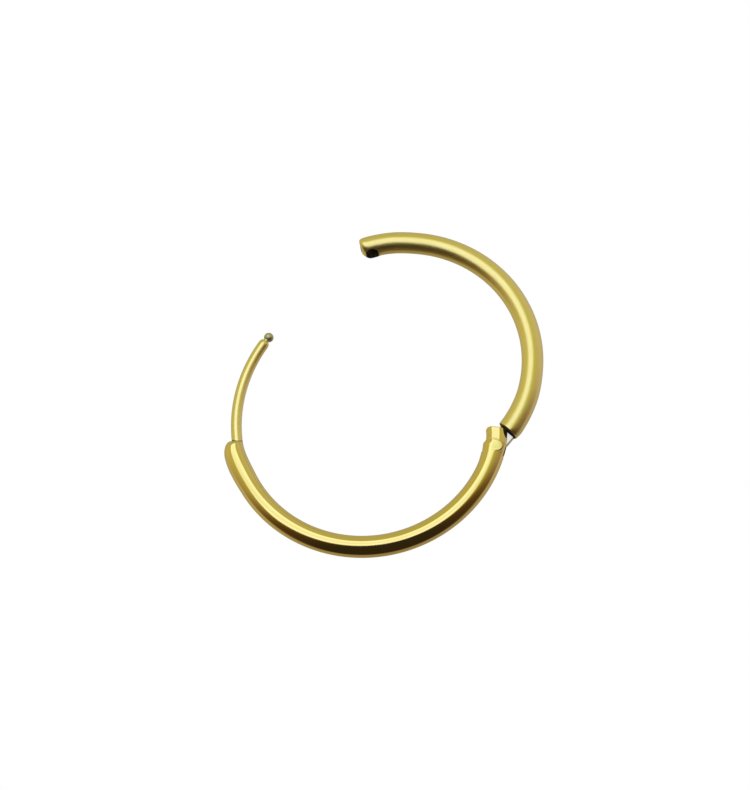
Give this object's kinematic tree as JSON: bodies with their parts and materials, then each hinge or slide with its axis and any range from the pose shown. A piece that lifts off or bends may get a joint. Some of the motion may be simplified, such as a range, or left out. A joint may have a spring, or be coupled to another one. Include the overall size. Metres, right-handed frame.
{
  "type": "hinged hoop earring",
  "caption": "Round tube hoop earring with a hinged upper half. A curved ear post with a ball tip clicks into the tip of the other half to close it.",
  "frame": {"origin": "on the hinge pin's axis, at the face of its lower rivet head, level with the surface that the hoop lies on", "axes": "+Z along the hinge pin, square to the hoop's plane. +X points from the hoop towards the hinge side and +Y towards the open mouth, as in the picture"},
  "size_m": [0.0309, 0.0313, 0.002],
  "materials": {
    "polished_gold": "polished gold plating",
    "gold_wire": "gold plated wire, bare steel at the ball",
    "rivet_gold": "gold plated, filed nearly flush",
    "bare_steel": "unplated, lightly brushed"
  },
  "bodies": {
    "lower_body": {"lower_half": "polished_gold", "ear_post": "gold_wire", "hinge_pin": "rivet_gold"},
    "upper_body": {"upper_half": "polished_gold", "hinge_tongue": "bare_steel"}
  },
  "joints": [
    {"name": "hoop_hinge", "type": "hinge", "parent": "lower_body", "child": "upper_body", "pos_m": [0, 0, 0.001], "axis": [0, 0, 1], "range_deg": [-5, 30.7]}
  ]
}
